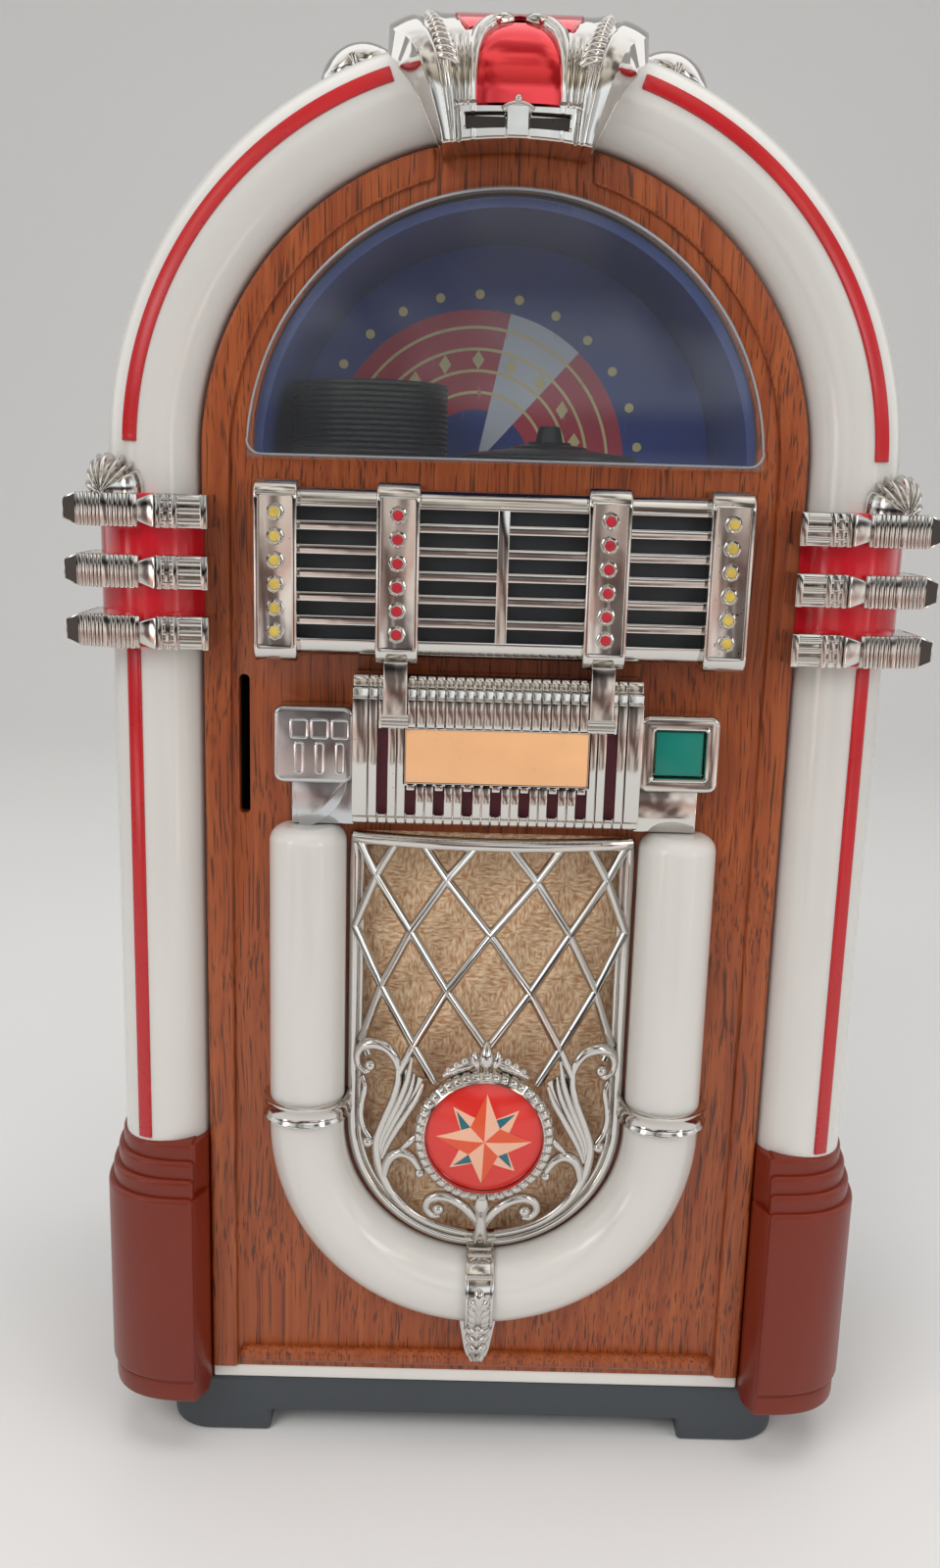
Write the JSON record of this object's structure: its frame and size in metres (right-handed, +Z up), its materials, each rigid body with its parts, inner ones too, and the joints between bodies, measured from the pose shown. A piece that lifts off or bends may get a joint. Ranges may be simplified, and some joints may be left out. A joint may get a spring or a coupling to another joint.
{
  "type": "mini jukebox",
  "caption": "Tabletop jukebox with an arched front of pale lit tubes, a record window, selector rows, a coin slot, a speaker grille, top knobs and hinged rear doors.",
  "frame": {"origin": "on the table, under the middle of the overall box", "axes": "+Z up, -Y out of the front, +X to the right as seen from the front"},
  "size_m": [0.183, 0.12, 0.3215],
  "materials": {
    "wood": "wood-grain laminate, satin",
    "brown_plastic": "moulded, fine texture",
    "shoe_plastic": "moulded, glossy",
    "base_plastic": "moulded, satin",
    "white_plastic": "translucent, glossy",
    "red_plastic": "glossy",
    "yellow_plastic": "glossy",
    "chrome": "bright plated",
    "steel": "plain",
    "black_plastic": "moulded",
    "rubber": "matt",
    "maroon_plastic": "satin",
    "cream_plastic": "satin",
    "green_plastic": "glossy",
    "cloth": "woven brocade",
    "clear_plastic": "clear",
    "card": "printed card",
    "pale_plastic": "moulded",
    "board": "resist",
    "lamp_glass": "clear bulb",
    "cell": "printed sleeve",
    "speaker_metal": "plated",
    "cone_paper": "pulp paper"
  },
  "bodies": {
    "cabinet": {"front_panel": "wood", "cabinet_shell": "brown_plastic", "back_cover": "brown_plastic", "left_shoe": "shoe_plastic", "right_shoe": "shoe_plastic", "base_plinth": "base_plastic", "left_arch_tube": "white_plastic", "right_arch_tube": "white_plastic", "upper_tubes": "white_plastic", "u_bend": "white_plastic", "panel_strip": "white_plastic", "red_stripes": "red_plastic", "band_sleeves": "red_plastic", "crest_lens": "red_plastic", "red_pips": "red_plastic", "medallion": "red_plastic", "yellow_pips": "yellow_plastic", "left_band_clasp": "chrome", "right_band_clasp": "chrome", "top_crest": "chrome", "selector_frame": "chrome", "nameplate_housing": "chrome", "coin_panel": "chrome", "button_bezel": "chrome", "speaker_grille": "chrome", "medallion_bezel": "chrome", "tube_collars": "chrome", "tail_clasp": "chrome", "cover_screws": "steel", "door_pins": "steel", "record_motor": "steel", "volume_control": "steel", "tuning_capacitor": "steel", "record_stack": "black_plastic", "selector_backing": "black_plastic", "button_switch": "black_plastic", "battery_box": "black_plastic", "nameplate_backing": "maroon_plastic", "label_plate": "cream_plastic", "speaker_cloth": "cloth", "window_lens": "clear_plastic", "window_card": "card", "record_bay": "pale_plastic", "coin_chute": "pale_plastic", "coin_box": "pale_plastic", "circuit_board": "board", "tube_lamps": "lamp_glass", "battery_cells": "cell", "speaker_frame": "speaker_metal", "speaker_cone": "cone_paper"},
    "volume": {"volume_knob": "chrome", "volume_shaft": "steel"},
    "tuning": {"tuning_knob": "chrome", "tuning_shaft": "steel"},
    "record": {"record_disc": "black_plastic", "turntable_shaft": "black_plastic"},
    "roller": {"drive_roller": "rubber"},
    "button": {"select_button": "green_plastic"},
    "coin_flap": {"coin_door": "brown_plastic"},
    "battery_flap": {"battery_door": "brown_plastic"}
  },
  "joints": [
    {"name": "volume_turn", "type": "hinge", "parent": "cabinet", "child": "volume", "pos_m": [0, -0.021, 0.2335], "axis": [-0.3827, 0, 0.9239], "range_deg": [-135, 135]},
    {"name": "tuning_turn", "type": "hinge", "parent": "cabinet", "child": "tuning", "pos_m": [0, -0.021, 0.2335], "axis": [0.3827, 0, 0.9239], "range_deg": [-90, 90]},
    {"name": "record_spin", "type": "hinge", "parent": "cabinet", "child": "record", "pos_m": [0.0104, -0.0218, 0.2335], "axis": [0, 0, 1], "continuous": true},
    {"name": "roller_spin", "type": "hinge", "parent": "cabinet", "child": "roller", "pos_m": [0.0287, -0.0218, 0.2135], "axis": [0, 0, 1], "continuous": true},
    {"name": "button_press", "type": "slide", "parent": "cabinet", "child": "button", "axis": [0, 1, 0], "range_m": [0, 0.0015], "stiffness_N_per_m": 300, "springref_m": -0.001},
    {"name": "coin_door_swing", "type": "hinge", "parent": "cabinet", "child": "coin_flap", "pos_m": [-0.065, 0.0585, 0.041], "axis": [0, 0, 1], "range_deg": [0, 95]},
    {"name": "battery_door_swing", "type": "hinge", "parent": "cabinet", "child": "battery_flap", "pos_m": [0.065, 0.0585, 0.062], "axis": [0, 0, -1], "range_deg": [0, 95]}
  ],
  "couplings": [
    {"joint": "roller_spin", "follows": "record_spin", "ratio": -3.5}
  ]
}
